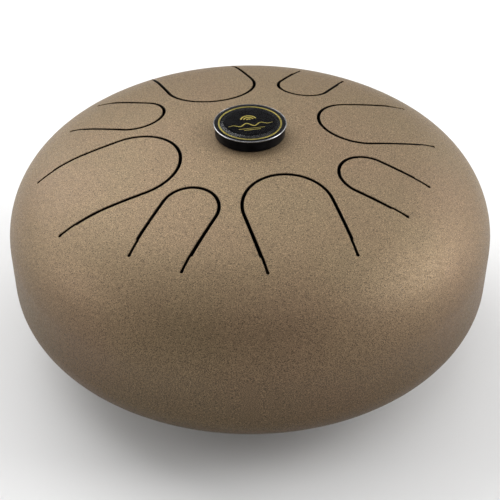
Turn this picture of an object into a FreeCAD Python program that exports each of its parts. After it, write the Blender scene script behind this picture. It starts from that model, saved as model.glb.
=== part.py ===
"""Eight-note steel tongue drum.

Two pressed steel half-shells are welded edge to edge at the middle of a short straight wall.
Eight U-shaped slots in the top free eight tongues, each rooted towards the rim. A round badge
sits on the crown. The bottom has a rolled sound port and four rubber feet held by screws.

Lengths are in millimetres and angles in degrees. The drum's axis is Z, the floor is z = 0 and
the +Y side is the back.
"""
import math
import os

import FreeCAD
import Part

V = FreeCAD.Vector

# Shell
DRUM_RADIUS = 150.0
SHEET = 1.8
WALL_HEIGHT = 26.0
SHOULDER_RADIUS = 48.0
SHOULDER_ANGLE = 38.2        # from straight up, where the shoulder meets the haunch
HAUNCH_RADIUS = 83.5
HAUNCH_ANGLE = 14.1          # from straight up, where the haunch meets the crown
SEAT_RADIUS = 28.0           # flat seat for the badge in the middle of the crown
SEAT_BLEND_RADIUS = 150.0
CORNER_RADIUS = 27.5
DISH_RADIUS = 380.0
DISH_CLEARANCE = 5.0         # lowest point of the dish above the floor

# Weld inside the seam
BEAD_HALF_HEIGHT = 3.0
BEAD_DEPTH = 1.2

# Sound port in the bottom
PORT_RADIUS = 36.0
PORT_BEND = 4.0
PORT_LIP = 4.0

# Tongues: azimuth, half width to the slot's middle, tip radius, plan radius of the slot's ends
LONG_TIP = 45.2
SHORT_TIP = 60.2
TONGUES = {
    "tongue_1": (200.3, 29.1, LONG_TIP, 126.0),
    "tongue_2": (110.3, 28.3, LONG_TIP, 119.0),
    "tongue_3": (287.7, 26.1, LONG_TIP, 112.5),
    "tongue_4": (17.2, 24.1, LONG_TIP, 112.0),
    "tongue_5": (243.9, 16.6, SHORT_TIP, 117.0),
    "tongue_6": (156.3, 17.6, SHORT_TIP, 116.5),
    "tongue_7": (332.4, 17.3, SHORT_TIP, 110.0),
    "tongue_8": (63.1, 16.2, SHORT_TIP, 106.5),
}
SLOT_WIDTH = 2.0
TUNING_CUT_LENGTH = 10.5     # the narrower end of each slot leg
TUNING_CUT_WIDTH = 1.5
TUNING_CUT_OFFSET = 0.4      # towards the tongue, from the middle of the main slot
PIERCE_RADIUS = 1.0          # the cutting beam's start hole at each slot end
ROOT_SETBACK = 2.0           # from the end of the slot back to the line the tongue bends on
ROOT_GAP = 0.06

# Badge: heights are above its flat seat
PAD_RADIUS = 20.4
BADGE_FLOOR = 0.4
BASE_RADIUS_LOW = 21.1
BASE_RADIUS_HIGH = 21.5
RIM_RADIUS = 21.9
RIM_INNER_RADIUS = 21.3
RIM_TOP = 7.9
PLATE_TOP = 7.1
BEZEL_TOP = 7.6
BEZEL_INNER_RADIUS = 18.2
GOLD_OUTER_RADIUS = 19.1
GOLD_TOP = 7.75
LABEL_RADIUS = 18.1
LABEL_TOP = 7.3
LENS_EDGE_TOP = 7.7
LENS_TOP = 8.6

# Feet
FOOT_COUNT = 4
FOOT_CIRCLE_RADIUS = 80.0
FOOT_FIRST_AZIMUTH = 45.0
FOOT_RADIUS_TOP = 12.0
FOOT_RADIUS_SOLE = 10.0
FOOT_HEIGHT = 13.5           # the length over which it tapers, along its axis
FOOT_HOLE_RADIUS = 2.2
COUNTERBORE_RADIUS = 4.6
FOOT_GRIP = 6.0              # rubber left between the screw head and the shell
HEAD_RADIUS = 4.0
HEAD_HEIGHT = 2.4
HEAD_EDGE_HEIGHT = 1.2
HEAD_FLAT_RADIUS = 1.9       # flat middle of the domed head
HEAD_SOCKET_ACROSS = 2.5
HEAD_SOCKET_DEPTH = 1.4
SHANK_RADIUS = 2.0
SHANK_CHAMFER = 0.4
SHANK_BEYOND_NUT = 1.4
WASHER_RADIUS = 4.5
WASHER_HOLE_RADIUS = 2.15
WASHER_THICKNESS = 0.8
NUT_ACROSS_FLATS = 7.0
NUT_HEIGHT = 3.2
NUT_BORE_RADIUS = 2.02


def polar(centre, radius, angle):
    """Point of the half-plane X-Z at a radius from centre, angle counted from straight up."""
    turn = math.radians(angle)
    return V(centre.x + radius * math.sin(turn), 0, centre.z + radius * math.cos(turn))


def arc(centre, radius, start, end):
    """Arc in the X-Z plane about centre."""
    places = [polar(centre, radius, angle) for angle in (start, (start + end) / 2, end)]
    return Part.Arc(*places).toShape()


def chain(edges):
    """Close a list of edges, given in order, into one wire by adding straight joins where needed."""
    joined = []
    last = None
    first = edges[0].firstVertex(True).Point
    for edge in edges:
        start = edge.firstVertex(True).Point
        if last is not None and last.distanceToPoint(start) > 1e-6:
            joined.append(Part.makeLine(last, start))
        joined.append(edge)
        last = edge.lastVertex(True).Point
    if last.distanceToPoint(first) > 1e-6:
        joined.append(Part.makeLine(last, first))
    return Part.Wire(joined)


def revolve(edges):
    """Solid of revolution about Z from a chain of edges in the X-Z plane."""
    return Part.Face(chain(edges)).revolve(V(0, 0, 0), V(0, 0, 1), 360)


def lathe(points):
    """Solid of revolution about Z from (radius, height) corners."""
    corners = [V(r, 0, z) for r, z in points]
    corners.append(corners[0])
    return Part.Face(Part.makePolygon(corners)).revolve(V(0, 0, 0), V(0, 0, 1), 360)


# Centres of the arcs that make the shells' section
corner_sine = (DRUM_RADIUS - CORNER_RADIUS) / (DISH_RADIUS - CORNER_RADIUS)
CORNER_ANGLE = math.degrees(math.asin(corner_sine))
dish_centre = V(0, 0, DISH_CLEARANCE + DISH_RADIUS)
wall_low = dish_centre.z - (DISH_RADIUS - CORNER_RADIUS) * math.cos(math.radians(CORNER_ANGLE))
wall_top = wall_low + WALL_HEIGHT
seam = (wall_low + wall_top) / 2
corner_centre = V(DRUM_RADIUS - CORNER_RADIUS, 0, wall_low)
shoulder_centre = V(DRUM_RADIUS - SHOULDER_RADIUS, 0, wall_top)
haunch_centre = polar(shoulder_centre, SHOULDER_RADIUS - HAUNCH_RADIUS, SHOULDER_ANGLE)
CROWN_RADIUS = HAUNCH_RADIUS + haunch_centre.x / math.sin(math.radians(HAUNCH_ANGLE))
crown_centre = polar(haunch_centre, HAUNCH_RADIUS - CROWN_RADIUS, HAUNCH_ANGLE)
seat_angle = math.degrees(math.asin(SEAT_RADIUS / (CROWN_RADIUS - SEAT_BLEND_RADIUS)))
seat_centre = polar(crown_centre, CROWN_RADIUS - SEAT_BLEND_RADIUS, seat_angle)
seat_top = seat_centre.z + SEAT_BLEND_RADIUS

# Underside of the feet's washers, above the dish's outer surface on the screw's axis
dish_inside = DISH_RADIUS - SHEET
washer_low = DISH_RADIUS - math.sqrt(dish_inside ** 2 - WASHER_RADIUS ** 2)


def upper_skin(depth):
    """Arcs from the seam up to the axis, a depth below the outer surface."""
    wall_radius = DRUM_RADIUS - depth
    return [
        Part.makeLine(V(wall_radius, 0, seam), V(wall_radius, 0, wall_top)),
        arc(shoulder_centre, SHOULDER_RADIUS - depth, 90, SHOULDER_ANGLE),
        arc(haunch_centre, HAUNCH_RADIUS - depth, SHOULDER_ANGLE, HAUNCH_ANGLE),
        arc(crown_centre, CROWN_RADIUS - depth, HAUNCH_ANGLE, seat_angle),
        arc(seat_centre, SEAT_BLEND_RADIUS - depth, seat_angle, 0),
        Part.makeLine(V(SEAT_RADIUS, 0, seat_top - depth), V(0, 0, seat_top - depth)),
    ]


def lower_skin(depth):
    """Arcs from the seam down to the upper edge of the port's lip, a depth inside the outer surface."""
    wall_radius = DRUM_RADIUS - depth
    bend_x = PORT_RADIUS + PORT_BEND
    port_angle = math.degrees(math.asin(bend_x / (DISH_RADIUS - PORT_BEND)))
    bend_centre = polar(dish_centre, DISH_RADIUS - PORT_BEND, 180 - port_angle)
    lip_radius = PORT_RADIUS + depth
    return [
        Part.makeLine(V(wall_radius, 0, seam), V(wall_radius, 0, wall_low)),
        arc(corner_centre, CORNER_RADIUS - depth, 90, 180 - CORNER_ANGLE),
        arc(dish_centre, DISH_RADIUS - depth, 180 - CORNER_ANGLE, 180 - port_angle),
        arc(bend_centre, PORT_BEND - depth, 180 - port_angle, 270),
        Part.makeLine(V(lip_radius, 0, bend_centre.z), V(lip_radius, 0, bend_centre.z + PORT_LIP)),
    ]


def reverse(edges):
    """The same chain of edges run the other way."""
    turned = []
    for edge in reversed(edges):
        start = edge.valueAt(edge.FirstParameter)
        middle = edge.valueAt((edge.FirstParameter + edge.LastParameter) / 2)
        end = edge.valueAt(edge.LastParameter)
        if isinstance(edge.Curve, Part.Line):
            turned.append(Part.makeLine(end, start))
        else:
            turned.append(Part.Arc(end, middle, start).toShape())
    return turned


def prism(wire, azimuth):
    """Upright prism through the drum's top over a plan outline, turned to the tongue's azimuth."""
    solid = Part.Face(wire).extrude(V(0, 0, seat_top - wall_top + 40))
    solid.translate(V(0, 0, wall_top - 20))
    solid.rotate(V(0, 0, 0), V(0, 0, 1), azimuth)
    return solid


def tongue_outline(half_width, tip_centre, step, step_half_width, root):
    """Plan outline of a round-headed tongue along +X, with another half width from step to root."""
    head = Part.Arc(
        V(tip_centre, -half_width, 0), V(tip_centre - half_width, 0, 0), V(tip_centre, half_width, 0)
    ).toShape()
    side = [V(tip_centre, half_width, 0), V(step, half_width, 0), V(step, step_half_width, 0)]
    side.append(V(root, step_half_width, 0))
    mirrored = [V(p.x, -p.y, 0) for p in reversed(side)]
    return Part.Wire([head] + Part.makePolygon(side + mirrored).Edges)


def tongue_prism(azimuth, half_width, tip, slot_end):
    """The space a tongue fills in plan."""
    inner = half_width - SLOT_WIDTH / 2
    cut_inner = half_width - TUNING_CUT_OFFSET - TUNING_CUT_WIDTH / 2
    step = slot_end - TUNING_CUT_LENGTH
    root = slot_end - ROOT_SETBACK
    return prism(tongue_outline(inner, tip + half_width, step, cut_inner, root), azimuth)


def window_prisms(azimuth, half_width, tip, slot_end):
    """What the shell loses for a tongue: its own space, the slot round it and the slot's two ends."""
    outer = half_width + SLOT_WIDTH / 2
    cut_middle = half_width - TUNING_CUT_OFFSET
    cut_outer = cut_middle + TUNING_CUT_WIDTH / 2
    step = slot_end - TUNING_CUT_LENGTH
    root = slot_end - ROOT_SETBACK
    window = tongue_outline(outer, tip + half_width, step, cut_outer, root + ROOT_GAP)
    cutters = [prism(window, azimuth)]
    start = root - 0.5
    meet = slot_end - PIERCE_RADIUS - math.sqrt(PIERCE_RADIUS ** 2 - (TUNING_CUT_WIDTH / 2) ** 2)
    for side in (-1, 1):
        low = side * cut_middle - TUNING_CUT_WIDTH / 2
        high = side * cut_middle + TUNING_CUT_WIDTH / 2
        end = Part.Arc(V(meet, low, 0), V(slot_end, side * cut_middle, 0), V(meet, high, 0)).toShape()
        corners = [V(meet, high, 0), V(start, high, 0), V(start, low, 0), V(meet, low, 0)]
        cutters.append(prism(Part.Wire([end] + Part.makePolygon(corners).Edges), azimuth))
    return cutters


def foot_place(azimuth):
    """Placement that puts local z = 0 on the dish's outer surface with +Z along its inward normal."""
    tilt = math.degrees(math.asin(FOOT_CIRCLE_RADIUS / DISH_RADIUS))
    seat = polar(dish_centre, DISH_RADIUS, 180 - tilt)
    lean = FreeCAD.Placement(seat, FreeCAD.Rotation(V(0, 1, 0), -tilt))
    turn = FreeCAD.Placement(V(0, 0, 0), FreeCAD.Rotation(V(0, 0, 1), azimuth))
    return turn.multiply(lean)


def placed(solid, placement):
    """A copy of a solid moved to a placement."""
    copy = solid.copy()
    copy.Placement = placement.multiply(copy.Placement)
    return copy


def hexagon(across_flats, height, z):
    """Upright hexagonal prism about the Z axis."""
    corner_radius = across_flats / math.sqrt(3)
    corners = []
    for i in range(7):
        turn = math.radians(60 * i)
        corners.append(V(corner_radius * math.cos(turn), corner_radius * math.sin(turn), z))
    return Part.Face(Part.makePolygon(corners)).extrude(V(0, 0, height))


def above_dish():
    """The space over the dish's outer surface."""
    edge = polar(dish_centre, DISH_RADIUS, 180 - CORNER_ANGLE)
    return revolve([
        arc(dish_centre, DISH_RADIUS, 180, 180 - CORNER_ANGLE),
        Part.makeLine(edge, V(edge.x, 0, wall_top)),
        Part.makeLine(V(edge.x, 0, wall_top), V(0, 0, wall_top)),
    ])


def foot():
    """Rubber foot at azimuth 0: tapered, seated on the dish, level at the floor, bored for its screw."""
    reach = 2 * FOOT_HEIGHT
    spread = (FOOT_RADIUS_TOP - FOOT_RADIUS_SOLE) / FOOT_HEIGHT
    low_radius = FOOT_RADIUS_TOP - spread * reach
    block = lathe([(0, 3), (FOOT_RADIUS_TOP + spread * 3, 3), (low_radius, -reach), (0, -reach)])
    hole = Part.makeCylinder(FOOT_HOLE_RADIUS, reach + 6, V(0, 0, -reach - 1))
    counterbore = Part.makeCylinder(COUNTERBORE_RADIUS, reach, V(0, 0, -FOOT_GRIP - reach))
    block = placed(block.cut([hole, counterbore]), foot_place(0))
    floor = Part.makeBox(400, 400, 60, V(-200, -200, -60))
    return block.cut(above_dish()).cut(floor)


def foot_screw():
    """Button-head screw along local +Z, its head below the rubber it clamps."""
    head_low = -FOOT_GRIP - HEAD_HEIGHT
    head_rim = -FOOT_GRIP - HEAD_EDGE_HEIGHT
    tip = washer_low + WASHER_THICKNESS + NUT_HEIGHT + SHANK_BEYOND_NUT
    tip_radius = SHANK_RADIUS - SHANK_CHAMFER
    flat = V(HEAD_FLAT_RADIUS, 0, head_low)
    bulge = V(0.72 * HEAD_RADIUS, 0, head_low + 0.32)
    outline = [
        Part.Arc(V(HEAD_RADIUS, 0, head_rim), bulge, flat).toShape(),
        Part.makeLine(flat, V(0, 0, head_low)),
        Part.makeLine(V(0, 0, head_low), V(0, 0, tip)),
        Part.makeLine(V(0, 0, tip), V(tip_radius, 0, tip)),
        Part.makeLine(V(tip_radius, 0, tip), V(SHANK_RADIUS, 0, tip - SHANK_CHAMFER)),
        Part.makeLine(V(SHANK_RADIUS, 0, tip - SHANK_CHAMFER), V(SHANK_RADIUS, 0, -FOOT_GRIP)),
        Part.makeLine(V(SHANK_RADIUS, 0, -FOOT_GRIP), V(HEAD_RADIUS, 0, -FOOT_GRIP)),
        Part.makeLine(V(HEAD_RADIUS, 0, -FOOT_GRIP), V(HEAD_RADIUS, 0, head_rim)),
    ]
    body = revolve(outline)
    return body.cut(hexagon(HEAD_SOCKET_ACROSS, HEAD_SOCKET_DEPTH, head_low - 0.001))


def foot_washer():
    """Flat washer inside the shell, its outer edge resting on the hollow of the dish."""
    ring = Part.makeCylinder(WASHER_RADIUS, WASHER_THICKNESS, V(0, 0, washer_low))
    return ring.cut(Part.makeCylinder(WASHER_HOLE_RADIUS, 5, V(0, 0, washer_low - 2)))


def foot_nut():
    """Hexagon nut with chamfered corners on the washer."""
    low = washer_low + WASHER_THICKNESS
    high = low + NUT_HEIGHT
    block = hexagon(NUT_ACROSS_FLATS, NUT_HEIGHT, low)
    corner = NUT_ACROSS_FLATS / math.sqrt(3) + 0.01
    flat = NUT_ACROSS_FLATS / 2
    bevel = (corner - flat) * math.tan(math.radians(30))
    rounded = lathe([
        (0, low), (flat, low), (corner, low + bevel), (corner, high - bevel), (flat, high), (0, high)
    ])
    return block.common(rounded).cut(Part.makeCylinder(NUT_BORE_RADIUS, 10, V(0, 0, low - 2)))


def badge_ring(corners):
    """Turned badge piece from (radius, height above the seat) corners."""
    return lathe([(r, seat_top + h) for r, h in corners])


parts = {}

# Shells and weld
top_solid = revolve(upper_skin(0) + reverse(upper_skin(SHEET)))
cutters = []
for row in TONGUES.values():
    cutters.extend(window_prisms(*row))
parts["upper_shell"] = top_solid.cut(cutters)
for name, row in TONGUES.items():
    parts[name] = top_solid.common(tongue_prism(*row))

foot_places = []
for i in range(FOOT_COUNT):
    foot_places.append(foot_place(FOOT_FIRST_AZIMUTH + i * 360 / FOOT_COUNT))
screw_hole = Part.makeCylinder(FOOT_HOLE_RADIUS, 10, V(0, 0, -4))
bottom_solid = revolve(lower_skin(0) + reverse(lower_skin(SHEET)))
parts["lower_shell"] = bottom_solid.cut([placed(screw_hole, p) for p in foot_places])

wall_inside = DRUM_RADIUS - SHEET
bead_low = V(wall_inside, 0, seam - BEAD_HALF_HEIGHT)
bead_high = V(wall_inside, 0, seam + BEAD_HALF_HEIGHT)
bead_arc = Part.Arc(bead_low, V(wall_inside - BEAD_DEPTH, 0, seam), bead_high).toShape()
parts["seam_weld"] = revolve([bead_arc])

# Badge
parts["badge_pad"] = badge_ring([(0, 0), (PAD_RADIUS, 0), (PAD_RADIUS, BADGE_FLOOR), (0, BADGE_FLOOR)])
parts["badge_base"] = badge_ring([
    (0, BADGE_FLOOR), (BASE_RADIUS_LOW - 0.3, BADGE_FLOOR), (BASE_RADIUS_LOW, BADGE_FLOOR + 0.3),
    (BASE_RADIUS_HIGH, PLATE_TOP), (0, PLATE_TOP),
])
parts["badge_rim"] = badge_ring([
    (RIM_INNER_RADIUS, PLATE_TOP), (RIM_RADIUS - 0.2, PLATE_TOP), (RIM_RADIUS, PLATE_TOP + 0.2),
    (RIM_RADIUS, RIM_TOP - 0.3), (RIM_RADIUS - 0.3, RIM_TOP), (RIM_INNER_RADIUS, RIM_TOP),
])
parts["badge_bezel"] = badge_ring([
    (BEZEL_INNER_RADIUS, PLATE_TOP), (RIM_INNER_RADIUS, PLATE_TOP), (RIM_INNER_RADIUS, BEZEL_TOP),
    (BEZEL_INNER_RADIUS, BEZEL_TOP),
])
parts["badge_gold_ring"] = badge_ring([
    (BEZEL_INNER_RADIUS, BEZEL_TOP), (GOLD_OUTER_RADIUS, BEZEL_TOP), (GOLD_OUTER_RADIUS, GOLD_TOP - 0.08),
    (GOLD_OUTER_RADIUS - 0.08, GOLD_TOP), (BEZEL_INNER_RADIUS, GOLD_TOP),
])
parts["badge_label"] = badge_ring([
    (0, PLATE_TOP), (LABEL_RADIUS, PLATE_TOP), (LABEL_RADIUS, LABEL_TOP), (0, LABEL_TOP),
])
lens_bulge = LENS_TOP - LENS_EDGE_TOP
lens_radius = (LABEL_RADIUS ** 2 + lens_bulge ** 2) / (2 * lens_bulge)
lens_centre = V(0, 0, seat_top + LENS_TOP - lens_radius)
lens_half_angle = math.degrees(math.asin(LABEL_RADIUS / lens_radius))
parts["badge_lens"] = revolve([
    Part.makeLine(V(0, 0, seat_top + LABEL_TOP), V(LABEL_RADIUS, 0, seat_top + LABEL_TOP)),
    arc(lens_centre, lens_radius, lens_half_angle, 0),
])

# Feet and their fasteners
for i in range(FOOT_COUNT):
    rubber = foot()
    rubber.rotate(V(0, 0, 0), V(0, 0, 1), FOOT_FIRST_AZIMUTH + i * 360 / FOOT_COUNT)
    parts["foot_%d" % (i + 1)] = rubber
parts["foot_screws"] = Part.Compound([placed(foot_screw(), p) for p in foot_places])
parts["foot_washers"] = Part.Compound([placed(foot_washer(), p) for p in foot_places])
parts["foot_nuts"] = Part.Compound([placed(foot_nut(), p) for p in foot_places])

os.makedirs("parts", exist_ok=True)
for name, shape in parts.items():
    count = FOOT_COUNT if name in ("foot_screws", "foot_washers", "foot_nuts") else 1
    if not shape.isValid() or len(shape.Solids) != count:
        raise ValueError("unexpected shape: " + name)
    if count == 1:
        shape = shape.Solids[0]
    shape.exportStep("parts/%s.step" % name)
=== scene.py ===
import math

import bpy
import numpy as np
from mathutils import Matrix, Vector
from mathutils.geometry import delaunay_2d_cdt


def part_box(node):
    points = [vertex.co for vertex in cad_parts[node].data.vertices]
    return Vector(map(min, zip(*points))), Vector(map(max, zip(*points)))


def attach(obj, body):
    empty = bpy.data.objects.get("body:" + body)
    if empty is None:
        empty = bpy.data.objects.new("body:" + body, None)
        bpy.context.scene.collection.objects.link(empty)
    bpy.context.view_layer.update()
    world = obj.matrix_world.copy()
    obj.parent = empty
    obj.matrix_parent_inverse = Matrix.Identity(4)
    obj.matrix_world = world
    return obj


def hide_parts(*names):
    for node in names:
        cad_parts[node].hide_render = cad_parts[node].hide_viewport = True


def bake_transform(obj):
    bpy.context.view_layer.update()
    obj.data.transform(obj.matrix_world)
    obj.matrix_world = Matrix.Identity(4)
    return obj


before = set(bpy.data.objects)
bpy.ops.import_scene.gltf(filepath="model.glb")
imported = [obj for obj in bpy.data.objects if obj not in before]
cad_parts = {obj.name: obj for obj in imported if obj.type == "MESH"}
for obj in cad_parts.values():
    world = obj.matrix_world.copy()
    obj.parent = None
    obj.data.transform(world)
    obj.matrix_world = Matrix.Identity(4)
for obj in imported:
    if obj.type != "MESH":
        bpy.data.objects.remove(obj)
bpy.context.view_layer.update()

# ---------------------------------------------------------------- sizes, mm and degrees
# lengths are in mm, and divided by 1000 where Blender wants metres
DRUM_RADIUS = 150.0
SHEET = 1.8
WALL_HEIGHT = 26.0
SHOULDER_RADIUS = 48.0
SHOULDER_ANGLE = 38.2
HAUNCH_RADIUS = 83.5
HAUNCH_ANGLE = 14.1
SEAT_RADIUS = 28.0
SEAT_BLEND_RADIUS = 150.0
CORNER_RADIUS = 27.5
DISH_RADIUS = 380.0
PORT_RADIUS = 36.0           # sound port in the dish, its sheet rolled up into a lip
PORT_BEND = 4.0
PORT_LIP = 4.0
FOOT_PLAN_RADIUS = 80.0      # from the drum's axis to a foot's seat

# azimuth, half width to the slot's middle, tip radius, plan radius of the slot's ends
TONGUES = {
    "tongue_1": (200.3, 29.1, 45.2, 126.0),
    "tongue_2": (110.3, 28.3, 45.2, 119.0),
    "tongue_3": (287.7, 26.1, 45.2, 112.5),
    "tongue_4": (17.2, 24.1, 45.2, 112.0),
    "tongue_5": (243.9, 16.6, 60.2, 117.0),
    "tongue_6": (156.3, 17.6, 60.2, 116.5),
    "tongue_7": (332.4, 17.3, 60.2, 110.0),
    "tongue_8": (63.1, 16.2, 60.2, 106.5),
}
SLOT = 1.0                   # half width of the slot
CUT = 0.75                   # half width of its narrower tuning cut
CUT_SHIFT = 0.4              # how far the cut is set over towards the tongue's middle
CUT_LENGTH = 10.5
PIERCE = 1.0                 # radius of the round hole at the slot's end
ROOT_SETBACK = 2.0           # from the slot's end to the line where a tongue's skin begins
ROUND = 0.34                 # how far the coat's rounding of a slot's edge reaches
# rows of that rounding: offset into the metal, drop under the surface, share of the slot wall's normal
ROUND_ROWS = ((0.17, 0.055, 0.42), (0.05, 0.17, 0.8), (0.0, 0.34, 1.0))

ON_AXIS = 1e-6               # smaller radii count as the axis

# ---------------------------------------------------------------- mesh density
RING_SEGMENTS = 288          # round both half-shells, so that they meet point to point at the seam
BADGE_SEGMENTS = 160
FOOT_SEGMENTS = 64
LEG_STEPS = 16               # along a slot's leg
HEAD_STEPS = 20              # round half of its head
CUT_STEPS = 4
PIERCE_STEPS = 12
ROOT_POINTS = 11             # between the two ends of a root line
SHOULDER_STEPS = 16
WALL_FALLS = (4.3, 8.6)      # rows of points of the upper wall, under its top
LOWER_WALL_FALL = 5.0        # row of points of the lower wall, under the seam
CORNER_STEPS, DISH_STEPS, PORT_STEPS, LIP_STEPS = 14, 14, 10, 6
LENS_STEPS = 14
SHELL_SPACING, SHELL_GAP = 3.4, 1.5      # loose points of the shell's top, and their gap to its edges
SHELL_FIRST, SHELL_MARGIN = 6.0, 3.0     # radius of their first ring, gap from the last one to the shoulder
TONGUE_SPACING, TONGUE_GAP = 3.2, 1.3    # the same for a tongue

# ---------------------------------------------------------------- section of the shells
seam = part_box("upper_shell")[0].z * 1000
wall_top = seam + WALL_HEIGHT / 2
wall_low = seam - WALL_HEIGHT / 2


def step_from(centre, radius, angle):
    """Point at a radius from centre in the half-plane of plan radius and height, angle from straight up."""
    turn = math.radians(angle)
    return (centre[0] + radius * math.sin(turn), centre[1] + radius * math.cos(turn))


shoulder = (DRUM_RADIUS - SHOULDER_RADIUS, wall_top)
haunch = step_from(shoulder, SHOULDER_RADIUS - HAUNCH_RADIUS, SHOULDER_ANGLE)
crown_radius = HAUNCH_RADIUS + haunch[0] / math.sin(math.radians(HAUNCH_ANGLE))
crown = step_from(haunch, HAUNCH_RADIUS - crown_radius, HAUNCH_ANGLE)
seat_angle = math.degrees(math.asin(SEAT_RADIUS / (crown_radius - SEAT_BLEND_RADIUS)))
seat = step_from(crown, crown_radius - SEAT_BLEND_RADIUS, seat_angle)
seat_top = seat[1] + SEAT_BLEND_RADIUS
ARCS = [
    (seat, SEAT_BLEND_RADIUS, 0.0, seat_angle),
    (crown, crown_radius, seat_angle, HAUNCH_ANGLE),
    (haunch, HAUNCH_RADIUS, HAUNCH_ANGLE, SHOULDER_ANGLE),
    (shoulder, SHOULDER_RADIUS, SHOULDER_ANGLE, 90.0),
]
EDGE_RADIUS = step_from(shoulder, SHOULDER_RADIUS, SHOULDER_ANGLE)[0]

corner_angle = math.degrees(math.asin((DRUM_RADIUS - CORNER_RADIUS) / (DISH_RADIUS - CORNER_RADIUS)))
dish_z = wall_low + (DISH_RADIUS - CORNER_RADIUS) * math.cos(math.radians(corner_angle))


def top_surface(plan_radius, depth):
    """Height and slope (degrees from level) of the top, a depth under its outer surface."""
    if plan_radius <= SEAT_RADIUS:
        return seat_top - depth, 0.0
    for centre, radius, _, last in ARCS:
        if plan_radius <= centre[0] + (radius - depth) * math.sin(math.radians(last)) + 1e-6:
            sine = min(1.0, (plan_radius - centre[0]) / (radius - depth))
            return centre[1] + (radius - depth) * math.sqrt(1 - sine * sine), math.degrees(math.asin(sine))
    raise ValueError(plan_radius)


def top_point(x, y, depth=0.0, drop=0.0):
    """Point of the top over (x, y) and the unit normal that leaves the sheet there."""
    plan_radius = math.hypot(x, y)
    z, slope = top_surface(plan_radius, depth)
    sine, cosine = math.sin(math.radians(slope)), math.cos(math.radians(slope))
    scale = sine / plan_radius if plan_radius > 1e-9 else 0.0
    return (x, y, z - drop), Vector((x * scale, y * scale, cosine))


# ---------------------------------------------------------------- mesh helpers
def add_object(name, data):
    """New object in the scene for a mesh, a light or a camera."""
    obj = bpy.data.objects.new(name, data)
    bpy.context.scene.collection.objects.link(obj)
    return obj


def smooth_mesh(name, points, faces, sharp):
    """Mesh of points in mm, smooth but for edges sharper than an angle in degrees."""
    mesh = bpy.data.meshes.new(name)
    mesh.from_pydata([[c / 1000 for c in p] for p in points], [], faces)
    mesh.shade_smooth()
    mesh.set_sharp_from_angle(angle=math.radians(sharp))
    return add_object(name, mesh)


class Builder:
    """Collects points and faces; every face corner carries the normal that it is shaded with."""

    def __init__(self):
        self.points = []
        self.faces = []
        self.normals = []
        self.slots = []
        self.slot = 0        # material slot that new faces get

    def add(self, point):
        """Adds a point, in mm, and returns its index."""
        self.points.append(tuple(point))
        return len(self.points) - 1

    def face(self, corners, normals):
        """Adds a face, turned so that it looks the way its normals do."""
        loop = [Vector(self.points[i]) for i in corners]
        area = Vector((0, 0, 0))
        for a, b in zip(loop, loop[1:] + loop[:1]):
            area += a.cross(b)
        if area.dot(sum(normals, Vector((0, 0, 0)))) < 0:
            corners = corners[::-1]
            normals = normals[::-1]
        self.faces.append(tuple(corners))
        self.normals.extend(normals)
        self.slots.append(self.slot)

    def strip(self, first, second, first_normals, second_normals):
        """Quads between two rows of points."""
        for i in range(len(first) - 1):
            self.face(
                [first[i], first[i + 1], second[i + 1], second[i]],
                [first_normals[i], first_normals[i + 1], second_normals[i + 1], second_normals[i]],
            )

    def build(self, name):
        """Object of all points and faces."""
        mesh = bpy.data.meshes.new(name)
        mesh.from_pydata([[c / 1000 for c in p] for p in self.points], [], self.faces)
        mesh.shade_smooth()
        mesh.polygons.foreach_set("material_index", self.slots)
        mesh.normals_split_custom_set([n.normalized() for n in self.normals])
        return add_object(name, mesh)


def finish_piece(obj, materials, nodes, body="drum"):
    """Gives a new piece its materials, hides the CAD nodes it stands for and attaches it to its body if one is
    given.
    """
    for material in materials:
        obj.data.materials.append(material)
    if nodes:
        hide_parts(*nodes)
    if body:
        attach(obj, body)
    return obj


def lathe(name, outline, segments=BADGE_SEGMENTS, sharp=35.0):
    """Closed turned piece about the drum's axis from (radius, height) corners, in mm."""
    ahead = outline[1:] + outline[:1]
    if sum(a[0] * b[1] - b[0] * a[1] for a, b in zip(outline, ahead)) < 0:
        outline = outline[::-1]
    points = []
    faces = []
    rows = []
    for radius, z in outline:
        if radius < ON_AXIS:
            points.append((0.0, 0.0, z))
            rows.append([len(points) - 1] * segments)
            continue
        row = []
        for k in range(segments):
            turn = 2 * math.pi * k / segments
            row.append(len(points))
            points.append((radius * math.cos(turn), radius * math.sin(turn), z))
        rows.append(row)
    count = len(rows)
    closed = outline[0][0] > ON_AXIS or outline[-1][0] > ON_AXIS
    for i in range(count if closed else count - 1):
        a, b = rows[i], rows[(i + 1) % count]
        for k in range(segments):
            m = (k + 1) % segments
            face = [a[k], a[m], b[m], b[k]]
            unique = list(dict.fromkeys(face))
            if len(unique) >= 3:
                faces.append(unique)
    return smooth_mesh(name, points, faces, sharp)


def arc_points(centre, radius, start, end, steps):
    """Points of an arc in the section, both ends included."""
    return [step_from(centre, radius, start + (end - start) * i / steps) for i in range(steps + 1)]


def rounded(corners, radius, steps=4):
    """Outline with each corner that isn't on the axis rounded, over at most 0.45 of its sides."""
    result = []
    count = len(corners)
    for i, corner in enumerate(corners):
        before, after = Vector(corners[i - 1]), Vector(corners[(i + 1) % count])
        here = Vector(corner)
        if corner[0] < ON_AXIS:
            result.append(corner)
            continue
        to_before, to_after = before - here, after - here
        reach = min(radius, 0.45 * to_before.length, 0.45 * to_after.length)
        start, end = here + to_before.normalized() * reach, here + to_after.normalized() * reach
        for k in range(steps + 1):
            t = k / steps
            point = start * (1 - t) ** 2 + here * 2 * t * (1 - t) + end * t ** 2
            result.append((point.x, point.y))
    return result


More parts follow.
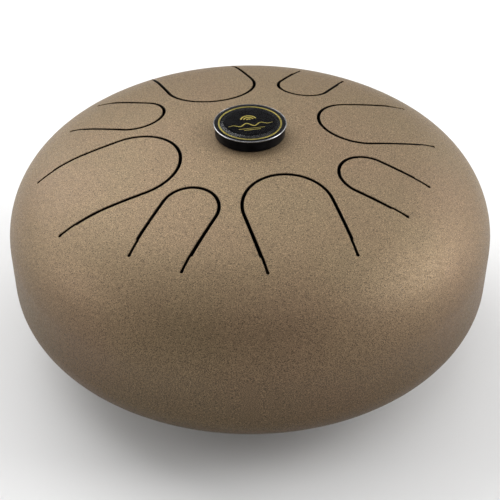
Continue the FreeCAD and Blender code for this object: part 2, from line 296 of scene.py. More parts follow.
# ---------------------------------------------------------------- slot outlines
# local plan: x outward, y across
def shell_edge(row, offset):
    """Local plan points along the shell's edge of a window, from root to root, an offset into the metal."""
    _, half, tip, end = row
    root, step, head = end - ROOT_SETBACK, end - CUT_LENGTH, tip + half
    middle = half - CUT_SHIFT
    hole, hole_radius = end - PIERCE, PIERCE + offset
    open_angle = math.pi - math.asin(min(1.0, (CUT + offset) / hole_radius))
    side = [(root, middle - CUT - offset)]
    for i in range(PIERCE_STEPS + 1):
        turn = -open_angle + 2 * open_angle * i / PIERCE_STEPS
        side.append((hole + hole_radius * math.cos(turn), middle + hole_radius * math.sin(turn)))
    last = side[-1][0]
    for i in range(1, CUT_STEPS + 1):
        side.append((last + (step + offset - last) * i / CUT_STEPS, middle + CUT + offset))
    side.append((step + offset, half + SLOT + offset))
    for i in range(1, LEG_STEPS + 1):
        side.append((step + offset + (head - step - offset) * i / LEG_STEPS, half + SLOT + offset))
    for i in range(1, HEAD_STEPS + 1):
        turn = math.pi / 2 * (1 + i / HEAD_STEPS)
        side.append((head + (half + SLOT + offset) * math.cos(turn), (half + SLOT + offset) * math.sin(turn)))
    return side + [(s, -q) for s, q in reversed(side[:-1])]


def tongue_edge(row, offset):
    """Local plan points along a tongue's edge, from root to root, an offset into the metal."""
    _, half, tip, end = row
    root, step, head = end - ROOT_SETBACK, end - CUT_LENGTH, tip + half
    narrow = half - CUT_SHIFT - CUT - offset
    wide = half - SLOT - offset
    side = [(root + (step - offset - root) * i / CUT_STEPS, narrow) for i in range(CUT_STEPS + 1)]
    side.append((step - offset, wide))
    for i in range(1, LEG_STEPS + 1):
        side.append((step - offset + (head - step + offset) * i / LEG_STEPS, wide))
    for i in range(1, HEAD_STEPS + 1):
        turn = math.pi / 2 * (1 + i / HEAD_STEPS)
        side.append((head + wide * math.cos(turn), wide * math.sin(turn)))
    return side + [(s, -q) for s, q in reversed(side[:-1])]


def turned(points, azimuth):
    """Local plan points turned to a tongue's azimuth."""
    c, s = math.cos(math.radians(azimuth)), math.sin(math.radians(azimuth))
    return [(x * c - y * s, x * s + y * c) for x, y in points]


def inside(x, y, loop):
    """Even-odd test of many points against one loop."""
    hit = np.zeros(len(x), bool)
    ax, ay = np.array(loop).T
    bx, by = np.roll(ax, -1), np.roll(ay, -1)
    for x0, y0, x1, y1 in zip(ax, ay, bx, by):
        crosses = (y0 > y) != (y1 > y)
        with np.errstate(divide="ignore", invalid="ignore"):
            hit ^= crosses & (x < (x1 - x0) * (y - y0) / (y1 - y0) + x0)
    return hit


def far_from(points, loops, gap):
    """The points that keep a gap from every loop's points."""
    walls = np.array([p for loop in loops for p in loop])
    keep = []
    for p in points:
        if np.min(np.hypot(walls[:, 0] - p[0], walls[:, 1] - p[1])) > gap:
            keep.append(p)
    return keep


def plan_mesh(loops, fill, keep_triangle):
    """Delaunay mesh of a plan region: loops are closed lists of points, fill are loose points.
    Returns the points, the triangles that keep_triangle accepts and each loop's indices."""
    coords = []
    edges = []
    for loop in loops:
        first = len(coords)
        coords.extend(loop)
        edges.extend((first + i, first + (i + 1) % len(loop)) for i in range(len(loop)))
    coords.extend(fill)
    out, _, triangles, origins, _, _ = delaunay_2d_cdt([Vector(c) for c in coords], edges, [], 1, 1e-6)
    new_index = {}
    for k, source in enumerate(origins):
        for i in source:
            new_index[i] = k
    middles = np.array([[sum(out[i][a] for i in t) / 3 for a in (0, 1)] for t in triangles])
    wanted = keep_triangle(middles[:, 0], middles[:, 1])
    kept = [t for t, w in zip(triangles, wanted) if w]
    indices = []
    first = 0
    for loop in loops:
        indices.append([new_index[first + i] for i in range(len(loop))])
        first += len(loop)
    return [(p.x, p.y) for p in out], kept, indices


def sheet_region(builder, loops, fill, keep_triangle):
    """Outer and inner faces of a region of the top; returns the loops' outer and inner indices."""
    plan, triangles, indices = plan_mesh(loops, fill, keep_triangle)
    used = sorted({i for t in triangles for i in t})
    outer, inner, normal = {}, {}, {}
    for i in used:
        point, normal[i] = top_point(*plan[i])
        outer[i] = builder.add(point)
        inner[i] = builder.add(top_point(*plan[i], depth=SHEET)[0])
    for t in triangles:
        builder.slot = 0
        builder.face([outer[i] for i in t], [normal[i] for i in t])
        builder.slot = 1
        builder.face([inner[i] for i in t], [-normal[i] for i in t])
    builder.slot = 0
    rows = []
    for loop in indices:
        rows.append(([outer[i] for i in loop], [inner[i] for i in loop], [normal[i] for i in loop]))
    return rows


def edge_rows(builder, edge, row, outer, inner, normals):
    """Rounds the coat over a slot's edge and closes the sheet's thickness there.
    Returns the first and the last point of each row."""
    base = turned(edge(row, ROUND), row[0])
    rim = turned(edge(row, 0.0), row[0])
    away = []
    for a, b in zip(base, rim):
        away.append(Vector((b[0] - a[0], b[1] - a[1], 0)).normalized())
    previous, previous_normals = outer, normals
    columns = [(outer[0], outer[-1])]
    for offset, drop, lean in ROUND_ROWS:
        row_points = turned(edge(row, offset), row[0])
        current = [builder.add(top_point(x, y, drop=drop)[0]) for x, y in row_points]
        current_normals = [(n * (1 - lean) + h * lean).normalized() for n, h in zip(normals, away)]
        builder.strip(previous, current, previous_normals, current_normals)
        previous, previous_normals = current, current_normals
        columns.append((current[0], current[-1]))
    # the slot's wall and the sheet's underside take the near-black inside material: painted shade in the slot
    builder.slot = 1
    bottom = [builder.add(top_point(x, y, depth=SHEET)[0]) for x, y in rim]
    builder.strip(previous, bottom, away, away)
    down = [-n for n in normals]
    builder.strip(bottom, inner, down, down)
    builder.slot = 0
    columns.append((bottom[0], bottom[-1]))
    return columns


def close_sides(builder, edge, row, count, loop, sign):
    """Closes the sheet's thickness round a loop of count edge points and a root line that closes it.
    sign says whether the root's wall looks outward (1) or toward the crown (-1)."""
    outer, inner, normals = loop
    columns = edge_rows(builder, edge, row, outer[:count], inner[:count], normals[:count])
    turn = math.radians(row[0])
    toward = Vector((math.cos(turn), math.sin(turn), 0)) * sign
    outer = [outer[count - 1]] + outer[count:] + [outer[0]]
    inner = [inner[count - 1]] + inner[count:] + [inner[0]]
    for end, side in ((0, 1), (-1, 0)):
        corners = list(dict.fromkeys([outer[end]] + [c[side] for c in columns] + [inner[end]]))
        builder.face(corners, [toward] * len(corners))
    builder.strip(outer, inner, [toward] * len(outer), [toward] * len(inner))


def root_line(row):
    """Plan points between the two ends of the root line, ends left out."""
    azimuth, half, _, end = row
    reach = half - CUT_SHIFT - CUT - ROUND
    root = end - ROOT_SETBACK
    local = []
    for i in range(1, ROOT_POINTS + 1):
        local.append((root, -reach + 2 * reach * i / (ROOT_POINTS + 1)))
    return turned(local, azimuth)


def polar_fill(low, high, spacing):
    """Loose points on rings, about a spacing apart."""
    points = []
    rings = int((high - low) / spacing)
    for i in range(rings + 1):
        radius = low + (high - low) * i / rings
        count = max(8, int(2 * math.pi * radius / spacing))
        for k in range(count):
            turn = 2 * math.pi * (k + 0.5 * (i % 2)) / count
            points.append((radius * math.cos(turn), radius * math.sin(turn)))
    return points


def make_upper_shell():
    """The upper half-shell: slotted top, shoulder and the wall down to the seam."""
    builder = Builder()
    ring = []
    for k in range(RING_SEGMENTS):
        turn = 2 * math.pi * k / RING_SEGMENTS
        ring.append((EDGE_RADIUS * math.cos(turn), EDGE_RADIUS * math.sin(turn)))
    loops = [ring]
    edge_counts = []
    for row in TONGUES.values():
        edge = turned(shell_edge(row, ROUND), row[0])
        loops.append(edge + root_line(row))
        edge_counts.append(len(edge))
    fill = polar_fill(SHELL_FIRST, EDGE_RADIUS - SHELL_MARGIN, SHELL_SPACING)
    fill = far_from(fill, loops, SHELL_GAP) + [(0.0, 0.0)]

    def keep(x, y):
        """Inside the ring and outside all windows."""
        wanted = inside(x, y, loops[0])
        for loop in loops[1:]:
            wanted &= ~inside(x, y, loop)
        return wanted

    rows = sheet_region(builder, loops, fill, keep)
    for row, count, loop in zip(TONGUES.values(), edge_counts, rows[1:]):
        close_sides(builder, shell_edge, row, count, loop, -1)

    directions = [Vector((x, y, 0)).normalized() for x, y in ring]

    def shade(angle, sign):
        """Normals round a row where the section has turned by an angle from level."""
        s, c = math.sin(math.radians(angle)) * sign, math.cos(math.radians(angle)) * sign
        return [Vector((d.x * s, d.y * s, c)) for d in directions]

    ring_outer, ring_inner, _ = rows[0]
    ends = []
    for slot, depth, previous, sign in ((0, 0.0, ring_outer, 1), (1, SHEET, ring_inner, -1)):
        builder.slot = slot
        radius = SHOULDER_RADIUS - depth
        first = math.degrees(math.asin((EDGE_RADIUS - shoulder[0]) / radius))
        previous_slope = first
        slopes = [first + (90 - first) * i / SHOULDER_STEPS for i in range(1, SHOULDER_STEPS + 1)]
        levels = [(slope, *step_from(shoulder, radius, slope)) for slope in slopes]
        levels += [(90.0, DRUM_RADIUS - depth, wall_top - fall) for fall in WALL_FALLS]
        levels += [(90.0, DRUM_RADIUS - depth, seam)]
        for slope, plan, z in levels:
            current = [builder.add((d.x * plan, d.y * plan, z)) for d in directions]
            above, below = shade(previous_slope, sign), shade(slope, sign)
            builder.strip(previous + previous[:1], current + current[:1], above + above[:1], below + below[:1])
            previous, previous_slope = current, slope
        ends.append(previous + previous[:1])
    down = [Vector((0, 0, -1))] * (RING_SEGMENTS + 1)
    builder.strip(*ends, down, down)
    return builder.build("upper_shell_skin")


def make_tongue(name, row):
    """One tongue, its coat rounded along the slot and flush with the shell at its root."""
    builder = Builder()
    azimuth, half, tip, end = row
    edge = turned(tongue_edge(row, ROUND), azimuth)
    loop = edge + root_line(row)
    local = []
    reach = int(half / TONGUE_SPACING) + 1
    for i in range(int((end - tip) / TONGUE_SPACING) + 1):
        for k in range(-reach, reach + 1):
            local.append((tip + TONGUE_SPACING * i, TONGUE_SPACING * (k + 0.5 * (i % 2))))
    fill = np.array(turned(local, azimuth))
    fill = [tuple(p) for p in fill[inside(fill[:, 0], fill[:, 1], loop)]]
    fill = far_from(fill, [loop], TONGUE_GAP)
    loops = sheet_region(builder, [loop], fill, lambda x, y: np.ones(len(x), bool))
    close_sides(builder, tongue_edge, row, len(edge), loops[0], 1)
    return builder.build(name + "_skin")


def make_lower_shell():
    """The lower half-shell: wall, corner, dish and the rolled lip of the sound port."""
    dish = (0.0, dish_z)
    corner = (DRUM_RADIUS - CORNER_RADIUS, wall_low)
    port_angle = math.degrees(math.asin((PORT_RADIUS + PORT_BEND) / (DISH_RADIUS - PORT_BEND)))
    bend = step_from(dish, DISH_RADIUS - PORT_BEND, 180 - port_angle)
    lip_top = bend[1] + PORT_LIP

    def skin(depth):
        """Section of the outer face, or of the inner one at the sheet's depth."""
        points = [(DRUM_RADIUS - depth, seam), (DRUM_RADIUS - depth, seam - LOWER_WALL_FALL)]
        points += arc_points(corner, CORNER_RADIUS - depth, 90, 180 - corner_angle, CORNER_STEPS)
        points += arc_points(dish, DISH_RADIUS - depth, 180 - corner_angle, 180 - port_angle, DISH_STEPS)[1:]
        points += arc_points(bend, PORT_BEND - depth, 180 - port_angle, 270, PORT_STEPS)[1:]
        return points

    out, back = skin(0.0), skin(SHEET)
    lip_middle = PORT_RADIUS + SHEET / 2
    top = arc_points((lip_middle, lip_top - SHEET / 2), SHEET / 2, -90, 90, LIP_STEPS)
    outline = out + top + back[::-1]
    obj = lathe("lower_shell_skin", outline, RING_SEGMENTS, sharp=50.0)
    # faces that look into the drum get the inside's material, up to the lip of the port
    for face in obj.data.polygons:
        outward = Vector((face.center.x, face.center.y, 0)).normalized() * face.normal.xy.to_3d().length
        faces_in = face.normal.dot(outward) < -1e-3 if abs(face.normal.z) < 0.2 else face.normal.z > 0.0
        face.material_index = 1 if faces_in and face.center.xy.length > (PORT_RADIUS + SHEET) / 1000 else 0
    return obj


# ---------------------------------------------------------------- materials
def nodes_of(material):
    """A material's node tree and its shader."""
    return material.node_tree, material.node_tree.nodes["Principled BSDF"]


def new_material(name, **inputs):
    """Principled material with constant sockets set."""
    material = bpy.data.materials.new(name)
    material.use_nodes = True
    _, shader = nodes_of(material)
    for key, value in inputs.items():
        shader.inputs[key.replace("_", " ")].default_value = value
    return material


def noise(tree, scale, detail=2.0, roughness=0.5, vector=None):
    """Noise over the object's own coordinates in metres, so 1000.0 is a grain of about 1 mm."""
    node = tree.nodes.new("ShaderNodeTexNoise")
    node.inputs["Scale"].default_value = scale
    node.inputs["Detail"].default_value = detail
    node.inputs["Roughness"].default_value = roughness
    if vector is None:
        vector = tree.nodes.new("ShaderNodeTexCoord").outputs["Object"]
    tree.links.new(vector, node.inputs["Vector"])
    return node.outputs["Fac"]


def remap(tree, value, low, high, to_low, to_high):
    """The value with low to high stretched to to_low to to_high, and clamped."""
    node = tree.nodes.new("ShaderNodeMapRange")
    for key, number in (("From Min", low), ("From Max", high), ("To Min", to_low), ("To Max", to_high)):
        node.inputs[key].default_value = number
    tree.links.new(value, node.inputs["Value"])
    return node.outputs["Result"]


def ramp(tree, value, stops):
    """Colour ramp from (place, colour) stops."""
    node = tree.nodes.new("ShaderNodeValToRGB")
    ends = node.color_ramp.elements
    for i, (place, colour) in enumerate(stops):
        stop = ends[i] if i < len(ends) else ends.new(place)
        stop.position = place
        stop.color = (*colour, 1.0)
    tree.links.new(value, node.inputs["Fac"])
    return node.outputs["Color"]


def mix(tree, factor, a, b, mode="MIX"):
    """Two colours mixed; each argument is a socket, a number or a colour."""
    node = tree.nodes.new("ShaderNodeMix")
    node.data_type = "RGBA"
    node.blend_type = mode
    for socket, value in ((node.inputs["Factor"], factor), (node.inputs["A"], a), (node.inputs["B"], b)):
        if hasattr(value, "links"):
            tree.links.new(value, socket)
        elif isinstance(value, tuple):
            socket.default_value = (*value, 1.0)
        else:
            socket.default_value = value
    return node.outputs["Result"]


def grey(tree, value):
    """The same number in all three channels."""
    node = tree.nodes.new("ShaderNodeCombineColor")
    for channel in ("Red", "Green", "Blue"):
        tree.links.new(value, node.inputs[channel])
    return node.outputs["Color"]


def bump(tree, height, strength, distance, after=None):
    """Bump normal, on top of another one if it is given; distance in metres."""
    node = tree.nodes.new("ShaderNodeBump")
    node.inputs["Strength"].default_value = strength
    node.inputs["Distance"].default_value = distance
    tree.links.new(height, node.inputs["Height"])
    if after is not None:
        tree.links.new(after, node.inputs["Normal"])
    return node.outputs["Normal"]


PAINTED_SHADE_HEIGHTS = (0.04, 0.15)  # heights in metres over which the painted shade, darkest low down, turns into the painted highlight at the top


def bronze_coat():
    """Fine-textured bronze powder coat: metallic grain and faint mottling, with painted shade and highlight by
    height: darker towards the seam, lighter and greyer towards the top.
    """
    material = new_material("bronze_coat", Metallic=0.5, IOR=1.5, Specular_IOR_Level=0.5)
    tree, shader = nodes_of(material)
    tone = ramp(tree, noise(tree, 14.0, 3.0, 0.55), [
        (0.32, (0.253, 0.184, 0.105)), (0.50, (0.256, 0.182, 0.103)), (0.68, (0.258, 0.179, 0.103)),
    ])
    rose = remap(tree, noise(tree, 8.0, 2.0), 0.46, 0.70, 0.0, 0.4)
    tone = mix(tree, rose, tone, (0.262, 0.166, 0.106))
    place = tree.nodes.new("ShaderNodeSeparateXYZ")
    tree.links.new(tree.nodes.new("ShaderNodeTexCoord").outputs["Object"], place.inputs["Vector"])
    # painted shade and highlight: the colour is multiplied darker low on the drum and lighter, greyer near the
    # top, standing in for how the light falls
    shade = ramp(tree, remap(tree, place.outputs["Z"], *PAINTED_SHADE_HEIGHTS, 0.0, 1.0), [
        (0.0, (0.40, 0.37, 0.30)), (0.20, (0.48, 0.45, 0.40)), (0.40, (0.60, 0.57, 0.53)),
        (0.58, (0.75, 0.73, 0.71)), (0.80, (0.78, 0.775, 0.77)), (0.90, (0.90, 0.91, 0.93)),
        (1.0, (1.06, 1.07, 1.12)),
    ])
    tone = mix(tree, 1.0, tone, shade, "MULTIPLY")
    grain = remap(tree, noise(tree, 2200.0, 0.0), 0.25, 0.75, 0.35, 1.65)
    tone = mix(tree, 1.0, tone, grey(tree, grain), "MULTIPLY")
    tree.links.new(tone, shader.inputs["Base Color"])
    rough = remap(tree, noise(tree, 700.0, 2.0), 0.30, 0.70, 0.46, 0.62)
    tree.links.new(rough, shader.inputs["Roughness"])
    peel = bump(tree, noise(tree, 900.0, 3.0, 0.6), 0.5, 0.00008)
    wave = bump(tree, noise(tree, 60.0, 2.0), 0.2, 0.0002, peel)
    tree.links.new(wave, shader.inputs["Normal"])
    return material


def moulded(name, colour, low, high, grain=1400.0, strength=0.15, **inputs):
    """Moulded plastic or rubber: slight colour drift, varied gloss and a fine surface grain."""
    material = new_material(name, **inputs)
    tree, shader = nodes_of(material)
    light = tuple(min(1.0, c * 1.35 + 0.004) for c in colour)
    drift = ramp(tree, noise(tree, 180.0, 4.0), [(0.35, colour), (0.7, light)])
    tree.links.new(drift, shader.inputs["Base Color"])
    tree.links.new(remap(tree, noise(tree, 320.0, 3.0), 0.3, 0.7, low, high), shader.inputs["Roughness"])
    tree.links.new(bump(tree, noise(tree, grain, 3.0), strength, 0.00005), shader.inputs["Normal"])
    return material


def metal(name, dark, light, low, high, stretch=(1.0, 1.0, 1.0), scale=500.0, strength=0.1, **inputs):
    """Metal with fine working marks drawn out along some axes."""
    material = new_material(name, Metallic=1.0, **inputs)
    tree, shader = nodes_of(material)
    coordinates = tree.nodes.new("ShaderNodeTexCoord")
    mapping = tree.nodes.new("ShaderNodeMapping")
    mapping.inputs["Scale"].default_value = stretch
    tree.links.new(coordinates.outputs["Object"], mapping.inputs["Vector"])
    marks = noise(tree, scale, 4.0, 0.6, mapping.outputs["Vector"])
    tree.links.new(ramp(tree, marks, [(0.3, dark), (0.7, light)]), shader.inputs["Base Color"])
    tree.links.new(remap(tree, marks, 0.3, 0.7, low, high), shader.inputs["Roughness"])
    tree.links.new(bump(tree, marks, strength, 0.00005), shader.inputs["Normal"])
    return material


def clear_resin():
    """Clear cast resin: lets what is under it show and adds only its own gloss."""
    material = new_material(
        "clear_resin", Base_Color=(0.0, 0.0, 0.0, 1.0), Alpha=0.28, IOR=1.5, Specular_IOR_Level=1.0,
    )
    tree, shader = nodes_of(material)
    rough = remap(tree, noise(tree, 120.0, 2.0), 0.3, 0.7, 0.16, 0.20)
    tree.links.new(rough, shader.inputs["Roughness"])
    return material


bronze = bronze_coat()
# near-black inside: partly the bare steel of the drum's inside, partly painted shade that darkens the slots'
# walls and what is seen through the slots
inside_steel_and_shade = metal(
    "inside_steel_and_shade", (0.008, 0.007, 0.006), (0.020, 0.017, 0.015), 0.55, 0.75, scale=120.0, strength=0.3,
)
black = moulded(
    "black_gloss", (0.003, 0.003, 0.004), 0.16, 0.28, strength=0.05, IOR=1.5, Specular_IOR_Level=0.25,
)
wall_black = moulded(
    "black_wall", (0.002, 0.002, 0.003), 0.32, 0.48, strength=0.12, IOR=1.5, Specular_IOR_Level=0.06,
)
label_black = moulded(
    "label_black", (0.002, 0.002, 0.003), 0.85, 0.97, strength=0.05, Specular_IOR_Level=0.0,
)
foam = moulded("foam", (0.012, 0.012, 0.012), 0.85, 0.97, grain=2600.0, strength=0.8)
rubber = moulded("rubber", (0.020, 0.020, 0.021), 0.62, 0.82, grain=1800.0, strength=0.5)
chrome = metal("chrome", (0.24, 0.24, 0.25), (0.38, 0.38, 0.39), 0.10, 0.22, scale=900.0, strength=0.04)
gold_ink = moulded("gold_ink", (0.72, 0.60, 0.12), 0.30, 0.45, Metallic=0.4)
gold = metal("gold", (0.46, 0.37, 0.08), (0.66, 0.55, 0.15), 0.26, 0.40, scale=700.0, strength=0.12)
zinc = metal("zinc", (0.42, 0.43, 0.45), (0.66, 0.67, 0.70), 0.28, 0.48, scale=900.0, strength=0.3)
weld = metal("weld", (0.16, 0.14, 0.13), (0.42, 0.40, 0.39), 0.38, 0.62, (1.0, 1.0, 0.35), 260.0, 0.9)
resin = clear_resin()

# ---------------------------------------------------------------- shells and tongues
finish_piece(make_upper_shell(), [bronze, inside_steel_and_shade], ["upper_shell"])
finish_piece(make_lower_shell(), [bronze, inside_steel_and_shade], ["lower_shell"])
for tongue, row in TONGUES.items():
    skin = make_tongue(tongue, row)
    piece = finish_piece(skin, [bronze, inside_steel_and_shade], [tongue], body=None)
    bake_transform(piece)


# ---------------------------------------------------------------- badge
def badge_piece(name, corners, radius, material, node):
    """Turned badge piece from (radius, height above the badge's seat) corners, rounded by a radius."""
    outline = rounded([(r, seat_top + h) for r, h in corners], radius)
    return finish_piece(lathe(name, outline), [material], [node])


# heights above the seat, from the underside of the base to the top of the lens
BASE, PLATE, LABEL, BEZEL, GOLD, RIM, LENS = 0.4, 7.1, 7.3, 7.6, 7.74, 7.9, 8.6
LABEL_RADIUS, BEZEL_RADIUS, RIM_RADIUS = 18.1, 18.2, 21.3

badge_piece("badge_pad_foam", [(0, 0), (20.4, 0), (20.4, BASE), (0, BASE)], 0.12, foam, "badge_pad")
badge_piece("badge_base_body", [
    (0, BASE), (20.8, BASE), (21.1, 0.7), (21.5, PLATE), (0, PLATE),
], 0.25, wall_black, "badge_base")
badge_piece("badge_rim_ring", [
    (RIM_RADIUS, PLATE), (21.7, PLATE), (21.9, 7.3), (21.9, 7.62), (21.62, RIM), (RIM_RADIUS, RIM),
], 0.14, chrome, "badge_rim")
badge_piece("badge_bezel_ring", [
    (BEZEL_RADIUS, PLATE), (RIM_RADIUS, PLATE), (RIM_RADIUS, BEZEL), (BEZEL_RADIUS, BEZEL),
], 0.1, black, "badge_bezel")
badge_piece("badge_gold_band", [
    (BEZEL_RADIUS, BEZEL), (19.1, BEZEL), (19.1, GOLD), (BEZEL_RADIUS, GOLD),
], 0.07, gold, "badge_gold_ring")
badge_piece("badge_label_disc", [
    (0, PLATE), (LABEL_RADIUS, PLATE), (LABEL_RADIUS, LABEL), (0, LABEL),
], 0.06, label_black, "badge_label")

# the resin is cast onto the label: its underside lies just inside the label, its edge is a rounded shoulder,
# and its top is nearly flat
LENS_OVERLAP = 0.08
LENS_SHOULDER, LENS_TURN = 14.5, 28.0        # radius where the shoulder starts, and how far it turns down
LENS_FLAT = ((LENS_SHOULDER, 0.03), (11.0, 0.016), (6.0, 0.004), (0.0, 0.0))     # radius, fall under the top
lens_bend = (LABEL_RADIUS - LENS_SHOULDER) / math.sin(math.radians(LENS_TURN))
lens_outline = [
    (0.0, seat_top + LABEL - LENS_OVERLAP),
    (17.95, seat_top + LABEL - LENS_OVERLAP),
    (LABEL_RADIUS, seat_top + LABEL + LENS_OVERLAP),
]
bend_centre = (LENS_SHOULDER, seat_top + LENS - LENS_FLAT[0][1] - lens_bend)
lens_outline += arc_points(bend_centre, lens_bend, LENS_TURN, 0.0, LENS_STEPS)
lens_outline += [(r, seat_top + LENS - fall) for r, fall in LENS_FLAT[1:]]
finish_piece(lathe("badge_lens_dome", lens_outline), [resin], ["badge_lens"])

# ---------------------------------------------------------------- generic motif on the label
MOTIF_TILT = 12.0
INK_HEIGHT = 0.045
RIPPLE_STEPS = 72
RIPPLE_REACH, RIPPLE_LEVEL, RIPPLE_SWING, RIPPLE_WAVES = 13.5, -1.3, 1.7, 3
RIPPLE_WIDTH, RIPPLE_SWELL = 0.22, 0.5                   # width at the ends, and how much the middle is wider
STROKE_STEPS = 12
STROKES = ((-5.6, 8.0, 0.3), (-7.2, 5.0, 0.4))           # level, half length, width
FAN_RADII, FAN_LEVEL, FAN_WIDTH = (1.1, 2.9, 4.7), 4.0, 0.85
FAN_ANGLES = range(15, 166, 5)


def ink_strip(builder, points, widths):
    """A thin raised strip of ink along plan points, with a width at each point; all tilted with the motif."""
    points = turned(points, MOTIF_TILT)
    low, high = seat_top + LABEL, seat_top + LABEL + INK_HEIGHT
    count = len(points)
    left, right = [], []
    for i, (x, y) in enumerate(points):
        x0, y0 = points[max(0, i - 1)]
        x1, y1 = points[min(count - 1, i + 1)]
        along = Vector((x1 - x0, y1 - y0)).normalized()
        side = Vector((-along.y, along.x)) * widths[i] / 2
        left.append((x + side.x, y + side.y))
        right.append((x - side.x, y - side.y))
    up, down = Vector((0, 0, 1)), Vector((0, 0, -1))
    top_left = [builder.add((*p, high)) for p in left]
    top_right = [builder.add((*p, high)) for p in right]
    low_left = [builder.add((*p, low)) for p in left]
    low_right = [builder.add((*p, low)) for p in right]
    builder.strip(top_left, top_right, [up] * count, [up] * count)
    builder.strip(low_left, low_right, [down] * count, [down] * count)
    for top, bottom, ring, sign in ((top_left, low_left, left, 1), (top_right, low_right, right, -1)):
        for i in range(count - 1):
            edge = Vector((ring[i + 1][0] - ring[i][0], ring[i + 1][1] - ring[i][1], 0))
            out = Vector((-edge.y, edge.x, 0)) * sign
            builder.face([top[i], top[i + 1], bottom[i + 1], bottom[i]], [out] * 4)
    for i, j in ((0, 1), (count - 1, count - 2)):
        out = Vector((points[i][0] - points[j][0], points[i][1] - points[j][1], 0))
        builder.face([top_left[i], top_right[i], low_right[i], low_left[i]], [out] * 4)


motif = Builder()
swell = [math.sin(math.pi * i / RIPPLE_STEPS) for i in range(RIPPLE_STEPS + 1)]
ripple = []
for i, rise in enumerate(swell):
    swing = RIPPLE_SWING * rise * math.sin(2 * RIPPLE_WAVES * math.pi * i / RIPPLE_STEPS)
    ripple.append((-RIPPLE_REACH + 2 * RIPPLE_REACH * i / RIPPLE_STEPS, RIPPLE_LEVEL + swing))
ink_strip(motif, ripple, [RIPPLE_WIDTH + RIPPLE_SWELL * rise for rise in swell])
for level, reach, width in STROKES:
    stroke = [(-reach + 2 * reach * i / STROKE_STEPS, level) for i in range(STROKE_STEPS + 1)]
    ink_strip(motif, stroke, [width] * len(stroke))
for radius in FAN_RADII:
    turns = [math.radians(angle) for angle in FAN_ANGLES]
    fan = [(radius * math.cos(turn), FAN_LEVEL + radius * math.sin(turn)) for turn in turns]
    ink_strip(motif, fan, [FAN_WIDTH] * len(fan))
finish_piece(motif.build("badge_motif_foil"), [gold_ink], [])

# ---------------------------------------------------------------- feet, fasteners, weld
# rings of a foot as kind, radius and lift: bore rings are lifted off the seat's middle, seat rings off the dish
# and sole rings off the floor; the waist is midway between a sole ring and a seat ring
FOOT_RINGS = (
    ("seat", 2.2, 0.0), ("bore", 2.2, 6.0), ("bore", 4.6, 6.0), ("sole", 4.6, 0.35), ("sole", 4.9, 0.0),
    ("sole", 9.2, 0.0), ("sole", 9.75, 0.25), ("sole", 9.98, 0.8), ("waist", None, None), ("seat", 11.75, 0.5),
    ("seat", 11.6, 0.0),
)
WAIST_SOLE_RADIUS, WAIST_SOLE_LIFT, WAIST_SEAT_RADIUS = 10.35, 0.8, 11.2


def make_foot(name, azimuth):
    """Moulded rubber foot: seated on the dish, level sole, softened edges and a counterbore."""
    tilt = math.asin(FOOT_PLAN_RADIUS / DISH_RADIUS)
    seat_point = Vector((FOOT_PLAN_RADIUS, 0, dish_z - DISH_RADIUS * math.cos(tilt)))
    axis = Vector((math.sin(tilt), 0, -math.cos(tilt)))
    across = Vector((math.cos(tilt), 0, math.sin(tilt)))
    side = Vector((0, 1, 0))
    sole_centre = seat_point + axis * (seat_point.z / math.cos(tilt))

    def sole(spread, radius, lift):
        """Point of a level ring above the floor."""
        point = sole_centre + spread * radius
        return point + axis * ((point.z - lift) / math.cos(tilt))

    def seated(spread, radius):
        """Point of a ring that lies on the dish."""
        point = seat_point + spread * radius
        plan = math.hypot(point.x, point.y)
        drop = dish_z - math.sqrt(DISH_RADIUS ** 2 - plan ** 2)
        return point + axis * ((point.z - drop) / math.cos(tilt))

    points = []
    for kind, radius, lift in FOOT_RINGS:
        ring = []
        for k in range(FOOT_SEGMENTS):
            angle = 2 * math.pi * k / FOOT_SEGMENTS
            spread = across * math.cos(angle) + side * math.sin(angle)
            if kind == "bore":
                point = seat_point + spread * radius + axis * lift
            elif kind == "sole":
                point = sole(spread, radius, lift)
            elif kind == "seat":
                point = seated(spread, radius) + axis * lift
            else:
                point = sole(spread, WAIST_SOLE_RADIUS, WAIST_SOLE_LIFT) * 0.5
                point += seated(spread, WAIST_SEAT_RADIUS) * 0.5
            ring.append(point)
        plan = turned([(p.x, p.y) for p in ring], azimuth)
        points += [(x, y, p.z) for (x, y), p in zip(plan, ring)]
    faces = []
    for i in range(len(FOOT_RINGS)):
        a, b = i * FOOT_SEGMENTS, (i + 1) % len(FOOT_RINGS) * FOOT_SEGMENTS
        for k in range(FOOT_SEGMENTS):
            m = (k + 1) % FOOT_SEGMENTS
            faces.append((a + k, a + m, b + m, b + k))
    return smooth_mesh(name + "_rubber", points, faces, 50.0)


for i in range(4):
    foot = "foot_%d" % (i + 1)
    finish_piece(make_foot(foot, 45.0 + 90.0 * i), [rubber], [foot])

EDGE_SOFTENING = 0.00012     # metres
for node, material in (("foot_screws", zinc), ("foot_washers", zinc), ("foot_nuts", zinc), ("seam_weld", weld)):
    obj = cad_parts[node]
    obj.data.materials.clear()
    obj.data.materials.append(material)
    for polygon in obj.data.polygons:
        polygon.material_index = 0
    edge = obj.modifiers.new("soft_edges", "BEVEL")
    edge.width = EDGE_SOFTENING
    edge.segments = 2
    edge.limit_method = "ANGLE"
    edge.angle_limit = math.radians(35)

# ---------------------------------------------------------------- floor, light, camera
FLOOR_REACH = 30.0           # metres
FLOOR_LOW = -0.00005         # metres; just under the soles, so that no two faces share a plane
floor_mesh = bpy.data.meshes.new("studio_floor")
corners = [(x * FLOOR_REACH, y * FLOOR_REACH, FLOOR_LOW) for x, y in ((-1, -1), (1, -1), (1, 1), (-1, 1))]
floor_mesh.from_pydata(corners, [], [(0, 1, 2, 3)])
floor = add_object("studio_floor", floor_mesh)
paper = new_material("pale_paper", Base_Color=(0.78, 0.78, 0.78, 1.0), Roughness=0.9)
tree, shader = nodes_of(paper)
tree.links.new(remap(tree, noise(tree, 300.0, 3.0), 0.3, 0.7, 0.85, 0.95), shader.inputs["Roughness"])
floor_mesh.materials.append(paper)

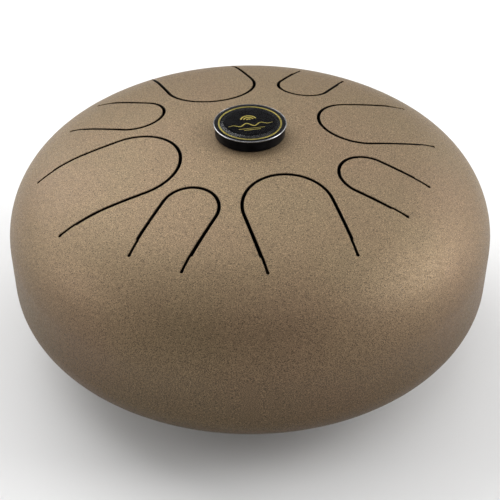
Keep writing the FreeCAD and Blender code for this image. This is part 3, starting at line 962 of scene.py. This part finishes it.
# brightness of the studio round the drum: sine of the height above the horizon, grey level
SKY = (
    (0.0, 0.90), (0.04, 0.60), (0.12, 0.30), (0.30, 0.28), (0.36, 0.70),
    (0.45, 0.70), (0.52, 0.08), (0.78, 0.08), (0.88, 0.80), (1.0, 0.85),
)
world = bpy.data.worlds.new("studio")
bpy.context.scene.world = world
world.use_nodes = True
sky = world.node_tree
upward = sky.nodes.new("ShaderNodeSeparateXYZ")
sky.links.new(sky.nodes.new("ShaderNodeTexCoord").outputs["Generated"], upward.inputs["Vector"])
glow = ramp(sky, upward.outputs["Z"], [(place, (level, level, level)) for place, level in SKY])
sky.links.new(glow, sky.nodes["Background"].inputs["Color"])
sky.nodes["Background"].inputs["Strength"].default_value = 1.0

LIGHT_WIDTH, LIGHT_DEPTH, LIGHT_DISTANCE = 0.9, 0.7, 1.6      # metres
LIGHT_AIM = Vector((0, 0, 0.1))


def softbox(name, azimuth, elevation, power, size=1.0):
    """Soft rectangular light turned to the drum; power in watts, size as a factor."""
    turn, rise = math.radians(azimuth), math.radians(elevation)
    away = Vector((math.cos(rise) * math.cos(turn), math.cos(rise) * math.sin(turn), math.sin(rise)))
    light = bpy.data.lights.new(name, "AREA")
    light.shape = "RECTANGLE"
    light.size = LIGHT_WIDTH * size
    light.size_y = LIGHT_DEPTH * size
    light.energy = power
    obj = add_object(name, light)
    obj.location = LIGHT_AIM + away * LIGHT_DISTANCE
    obj.rotation_mode = "QUATERNION"
    obj.rotation_quaternion = (-away).to_track_quat("-Z", "Y")
    obj.visible_camera = False


softbox("right_low", 0, 16, 9.0)
softbox("right_front", 335, 22, 1.1)
softbox("right_back", 40, 22, 3.6)
softbox("right", 0, 35, 8.6)
softbox("right_back_high", 45, 48, 2.2, 1.6)
softbox("right_over", 40, 66, 2.2, 1.4)
softbox("left_low", 180, 16, 3.6)
softbox("left_back", 140, 22, 5.6)
softbox("left", 185, 22, 3.7)
softbox("left_rear_high", 135, 48, 13.5, 1.5)
softbox("left_high", 180, 35, 1.3)

CAMERA_BACK, CAMERA_RISE = 593.9, 456.6      # in front of the drum's axis, and above the lower wall's end
CAMERA_PITCH, CAMERA_LENS = 37.43, 83.2
camera_data = bpy.data.cameras.new("camera")
camera_data.sensor_width = 36.0
camera_data.lens = CAMERA_LENS
camera = add_object("camera", camera_data)
camera.location = (0.0, -CAMERA_BACK / 1000, (wall_low + CAMERA_RISE) / 1000)
camera.rotation_euler = (math.radians(90 - CAMERA_PITCH), 0.0, 0.0)
bpy.context.scene.camera = camera
bpy.context.scene.view_settings.view_transform = "Standard"
